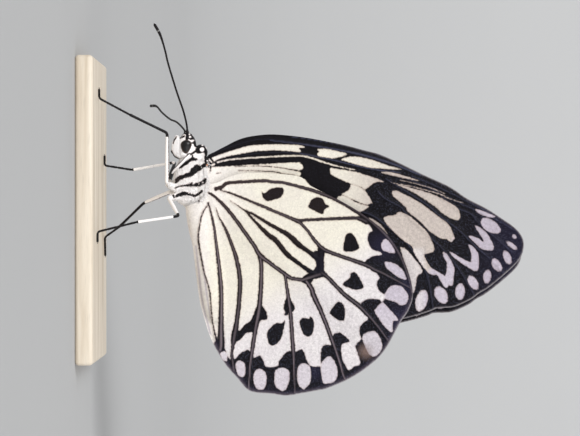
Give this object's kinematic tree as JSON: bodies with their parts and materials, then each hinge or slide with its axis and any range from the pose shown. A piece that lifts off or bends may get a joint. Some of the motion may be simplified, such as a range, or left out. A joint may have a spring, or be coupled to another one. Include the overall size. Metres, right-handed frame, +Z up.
{
  "type": "paper kite butterfly, still life-size model",
  "caption": "Large pale butterfly with black veins and spots, standing with its wings closed over its back on a plain flat base.",
  "frame": {"origin": "middle of the base's underside, on the surface that the base stands on", "axes": "+Z up from the base to the tips of the forewings, +X from the head towards the tail, +Y out of the butterfly's right side"},
  "size_m": [0.0742, 0.04, 0.0882],
  "materials": {
    "white_scales": "matt white scales with black marks",
    "black_scales": "satin black scales and chitin",
    "wing": "thin cream membrane with black veins and spots",
    "eye": "glossy black, finely faceted",
    "wood": "pale wood, satin"
  },
  "bodies": {
    "root": {"stand_base": "wood", "head": "white_scales", "eye_left": "eye", "eye_right": "eye", "palp_left": "white_scales", "palp_right": "white_scales", "tongue": "black_scales", "antenna_left": "black_scales", "antenna_right": "black_scales", "prothorax": "black_scales", "thorax": "white_scales", "abdomen": "white_scales", "foreleg_left": "white_scales", "foreleg_right": "white_scales", "mid_leg_left_femur": "white_scales", "mid_leg_left_tibia": "white_scales", "mid_leg_left_tarsus": "black_scales", "mid_leg_right_femur": "white_scales", "mid_leg_right_tibia": "white_scales", "mid_leg_right_tarsus": "black_scales", "hind_leg_left_femur": "white_scales", "hind_leg_left_tibia": "white_scales", "hind_leg_left_tarsus": "black_scales", "hind_leg_right_femur": "white_scales", "hind_leg_right_tibia": "white_scales", "hind_leg_right_tarsus": "black_scales", "forewing_left": "wing", "forewing_right": "wing", "hindwing_left": "wing", "hindwing_right": "wing"}
  },
  "joints": []
}
